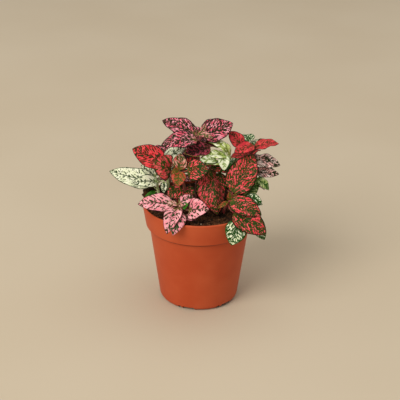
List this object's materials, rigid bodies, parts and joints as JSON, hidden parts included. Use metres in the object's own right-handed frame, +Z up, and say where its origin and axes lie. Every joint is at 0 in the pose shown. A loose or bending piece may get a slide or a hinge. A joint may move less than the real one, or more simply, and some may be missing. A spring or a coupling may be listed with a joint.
{
  "type": "potted polka dot plant",
  "caption": "Small leafy house plant with spotted red, pink, magenta and white leaves on several stems, in soil in a plain terracotta-coloured nursery pot.",
  "frame": {"origin": "centre of the pot's underside, on the plane it stands on", "axes": "+Z up along the pot's axis; -Y towards the side the plant shows first; +X to that side's right"},
  "size_m": [0.1597, 0.1246, 0.1779],
  "materials": {
    "pot": "thin satin terracotta-coloured plastic",
    "soil": "rough dark peat",
    "stem_top_magenta": "spotted leaf skin, slightly downy, with a soft sheen",
    "stem_left_red": "spotted leaf skin, slightly downy, with a soft sheen",
    "stem_left_white": "spotted leaf skin, slightly downy, with a soft sheen",
    "stem_inner_white": "spotted leaf skin, slightly downy, with a soft sheen",
    "stem_centre_red": "spotted leaf skin, slightly downy, with a soft sheen",
    "stem_front_pink": "spotted leaf skin, slightly downy, with a soft sheen",
    "stem_middle_red": "spotted leaf skin, slightly downy, with a soft sheen",
    "stem_right_red": "spotted leaf skin, slightly downy, with a soft sheen",
    "stem_right_green_white": "spotted leaf skin, slightly downy, with a soft sheen",
    "stem_right_pale_pink": "spotted leaf skin, slightly downy, with a soft sheen",
    "stem_upper_red": "spotted leaf skin, slightly downy, with a soft sheen",
    "stem_centre_green": "spotted leaf skin, slightly downy, with a soft sheen",
    "stem_back_left_pink": "spotted leaf skin, slightly downy, with a soft sheen",
    "stem_back_red": "spotted leaf skin, slightly downy, with a soft sheen",
    "stem_back_right_white": "spotted leaf skin, slightly downy, with a soft sheen"
  },
  "bodies": {
    "root": {"pot": "pot", "soil": "soil", "stem_top_magenta": "stem_top_magenta", "stem_left_red": "stem_left_red", "stem_left_white": "stem_left_white", "stem_inner_white": "stem_inner_white", "stem_centre_red": "stem_centre_red", "stem_front_pink": "stem_front_pink", "stem_middle_red": "stem_middle_red", "stem_right_red": "stem_right_red", "stem_right_green_white": "stem_right_green_white", "stem_right_pale_pink": "stem_right_pale_pink", "stem_upper_red": "stem_upper_red", "stem_centre_green": "stem_centre_green", "stem_back_left_pink": "stem_back_left_pink", "stem_back_red": "stem_back_red", "stem_back_right_white": "stem_back_right_white"}
  },
  "joints": []
}
